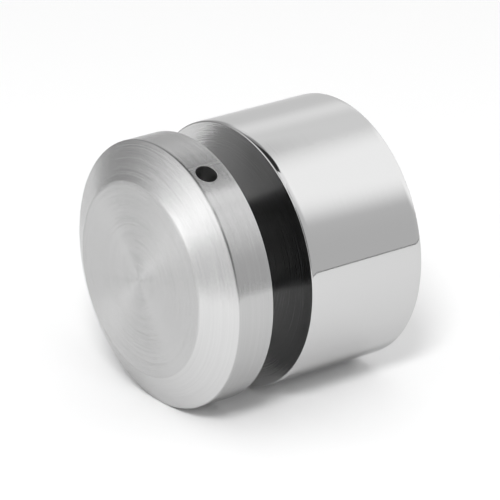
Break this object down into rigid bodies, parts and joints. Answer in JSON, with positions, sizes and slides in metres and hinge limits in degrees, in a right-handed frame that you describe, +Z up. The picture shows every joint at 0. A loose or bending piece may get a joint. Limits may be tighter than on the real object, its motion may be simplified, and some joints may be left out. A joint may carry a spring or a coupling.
{
  "type": "glass standoff",
  "caption": "Round steel standoff that clamps a drilled glass pane to a wall, with a screw-on bevelled cap and a plastic spacer sleeve.",
  "frame": {"origin": "centre of the barrel's wall face, on the axis, at the mouth of the wall thread", "axes": "+Y along the axis out of the wall face, so the wall lies at y = 0 and the cap faces -Y; +Z up, as fixed to an upright wall"},
  "size_m": [0.05, 0.0452, 0.05],
  "materials": {
    "polished_steel": "mirror-polished stainless steel, with a finely turned front face",
    "brushed_steel": "stainless steel, brushed round the rim and bevel and finely turned on the flat face",
    "stud_steel": "plain stainless steel thread",
    "sleeve_plastic": "black turned nylon"
  },
  "bodies": {
    "barrel": {"barrel": "polished_steel"},
    "sleeve": {"spacer_sleeve": "sleeve_plastic"},
    "cap": {"cap": "brushed_steel", "threaded_stud": "stud_steel"}
  },
  "joints": [
    {"name": "cap_travel", "type": "slide", "parent": "barrel", "child": "sleeve", "axis": [0, -1, 0], "range_m": [0, 0.008]},
    {"name": "cap_turn", "type": "hinge", "parent": "sleeve", "child": "cap", "pos_m": [0, -0.0337, 0], "axis": [0, -1, 0], "range_deg": [0, 1920]}
  ],
  "couplings": [
    {"joint": "cap_travel", "follows": "cap_turn", "m_per_rad": 0.00023873}
  ]
}
